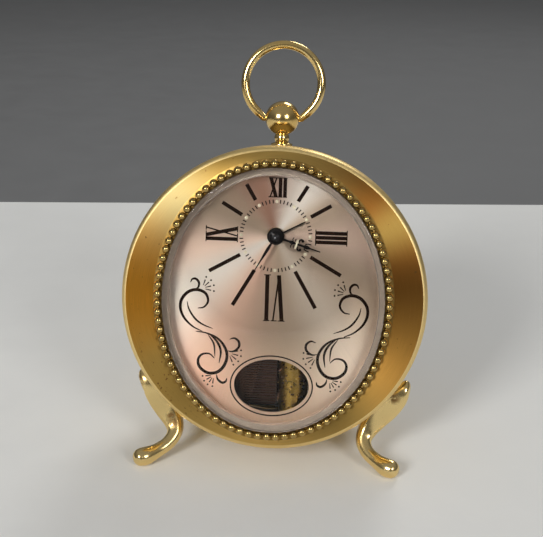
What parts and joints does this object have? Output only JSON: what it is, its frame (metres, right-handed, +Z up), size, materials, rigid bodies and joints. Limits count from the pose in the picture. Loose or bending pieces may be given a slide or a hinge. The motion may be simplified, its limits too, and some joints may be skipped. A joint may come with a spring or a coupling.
{
  "type": "musical alarm clock",
  "caption": "Round brass alarm clock on two scroll legs, with an oval beaded dial opening, a bow ring on top, and a music comb and cylinder behind a window in the dial",
  "frame": {"origin": "on the table, under the middle of the part's box", "axes": "+Z up, the dial faces -Y and leans back, +X is to the right as the dial is read"},
  "size_m": [0.0898, 0.0684, 0.1215],
  "materials": {
    "polished_brass": "polished, lightly worn",
    "brushed_brass": "brushed round the rim",
    "movement_brass": "satin",
    "steel": "satin",
    "comb_steel": "ground, dark",
    "silvered": "silvered, brushed in rays from the hub",
    "hand_black": "gloss black",
    "crystal": "clear, polished"
  },
  "bodies": {
    "case": {"case_drum": "polished_brass", "bezel": "brushed_brass", "beaded_rim": "polished_brass", "crystal": "crystal", "dial_ring": "silvered", "dial": "silvered", "back_cover": "brushed_brass", "back_cover_screw_1": "steel", "back_cover_screw_2": "steel", "back_cover_screw_3": "steel", "pendant": "polished_brass", "pendant_nut": "steel", "leg_right": "polished_brass", "leg_left": "polished_brass", "leg_screw_right": "steel", "leg_screw_left": "steel", "movement_front_plate": "movement_brass", "movement_back_plate": "movement_brass", "movement_pillar_1": "steel", "movement_pillar_2": "steel", "movement_pillar_3": "steel", "movement_pillar_4": "steel", "music_bedplate": "movement_brass", "music_post_1": "steel", "music_post_2": "steel", "music_post_3": "steel", "comb_base": "movement_brass", "music_comb": "comb_steel", "comb_screw_1": "steel", "comb_screw_2": "steel", "cylinder_bracket_top": "movement_brass", "cylinder_bracket_bottom": "movement_brass"},
    "bow": {"bow_ring": "polished_brass"},
    "centre": {"centre_arbor": "movement_brass", "cannon_pinion": "steel", "minute_hand": "hand_black", "hub_nut": "hand_black", "hand_set_knob": "polished_brass"},
    "hour": {"hour_wheel": "movement_brass", "hour_hand": "hand_black"},
    "minute_work": {"minute_wheel": "movement_brass"},
    "going_barrel": {"time_barrel": "movement_brass"},
    "third": {"third_wheel": "movement_brass"},
    "time_winder": {"time_key": "polished_brass", "time_winding_arbor": "steel"},
    "alarm_setter": {"alarm_set_knob": "polished_brass", "alarm_set_arbor": "steel"},
    "alarm": {"alarm_wheel": "movement_brass", "alarm_hand": "hand_black"},
    "balance": {"balance_wheel": "movement_brass"},
    "regulator": {"regulator_lever": "steel"},
    "stop": {"alarm_stop_button": "polished_brass"},
    "music_drive": {"music_barrel": "movement_brass"},
    "cylinder": {"music_cylinder": "movement_brass"},
    "music_winder": {"music_key": "polished_brass", "music_winding_arbor": "steel"}
  },
  "joints": [
    {"name": "bow_swing", "type": "hinge", "parent": "case", "child": "bow", "pos_m": [0, 0.00957, 0.0986], "axis": [1, 0, 0], "range_deg": [-100, 100]},
    {"name": "minute_turn", "type": "hinge", "parent": "case", "child": "centre", "pos_m": [0, -0.01464, 0.0693], "axis": [0, 0.9744, -0.225], "continuous": true},
    {"name": "hour_turn", "type": "hinge", "parent": "case", "child": "hour", "pos_m": [0, -0.01464, 0.0693], "axis": [0, 0.9744, -0.225], "continuous": true},
    {"name": "minute_wheel_turn", "type": "hinge", "parent": "case", "child": "minute_work", "pos_m": [-0.01039, -0.01599, 0.06345], "axis": [0, 0.9744, -0.225], "continuous": true},
    {"name": "barrel_turn", "type": "hinge", "parent": "case", "child": "going_barrel", "pos_m": [-0.00547, -0.01251, 0.07854], "axis": [0, 0.9744, -0.225], "continuous": true},
    {"name": "third_turn", "type": "hinge", "parent": "case", "child": "third", "pos_m": [0.00328, -0.01667, 0.06051], "axis": [0, 0.9744, -0.225], "continuous": true},
    {"name": "time_wind", "type": "hinge", "parent": "case", "child": "time_winder", "pos_m": [-0.00547, -0.01251, 0.07854], "axis": [0, 0.9744, -0.225], "continuous": true},
    {"name": "alarm_set", "type": "hinge", "parent": "case", "child": "alarm_setter", "pos_m": [0.01104, -0.01531, 0.06642], "axis": [0, 0.9744, -0.225], "continuous": true},
    {"name": "alarm_turn", "type": "hinge", "parent": "case", "child": "alarm", "pos_m": [0, -0.01464, 0.0693], "axis": [0, 0.9744, -0.225], "continuous": true},
    {"name": "balance_swing", "type": "hinge", "parent": "case", "child": "balance", "pos_m": [0.011, -0.01287, 0.077], "axis": [0, 0.9744, -0.225], "range_deg": [-135, 135], "stiffness_Nm_per_rad": 0.000003},
    {"name": "regulator_tilt", "type": "hinge", "parent": "case", "child": "regulator", "pos_m": [0.011, -0.01287, 0.077], "axis": [0, 0.9744, -0.225], "range_deg": [-20, 20]},
    {"name": "stop_press", "type": "slide", "parent": "case", "child": "stop", "axis": [0, -0.9744, 0.225], "range_m": [0, 0.0025]},
    {"name": "music_barrel_turn", "type": "hinge", "parent": "case", "child": "music_drive", "pos_m": [0.0063, -0.0206, 0.0435], "axis": [0, 0.9744, -0.225], "continuous": true},
    {"name": "cylinder_turn", "type": "hinge", "parent": "case", "child": "cylinder", "pos_m": [0.0063, -0.01103, 0.04938], "axis": [0, 0.225, 0.9744], "continuous": true},
    {"name": "music_wind", "type": "hinge", "parent": "case", "child": "music_winder", "pos_m": [0.0063, -0.0206, 0.0435], "axis": [0, 0.9744, -0.225], "continuous": true}
  ],
  "couplings": [
    {"joint": "hour_turn", "follows": "minute_turn", "ratio": 0.083333},
    {"joint": "minute_wheel_turn", "follows": "minute_turn", "ratio": -0.33333},
    {"joint": "barrel_turn", "follows": "minute_turn", "ratio": -0.25},
    {"joint": "third_turn", "follows": "minute_turn", "ratio": -4},
    {"joint": "alarm_turn", "follows": "alarm_set", "ratio": -0.5},
    {"joint": "cylinder_turn", "follows": "music_barrel_turn", "ratio": 2}
  ]
}
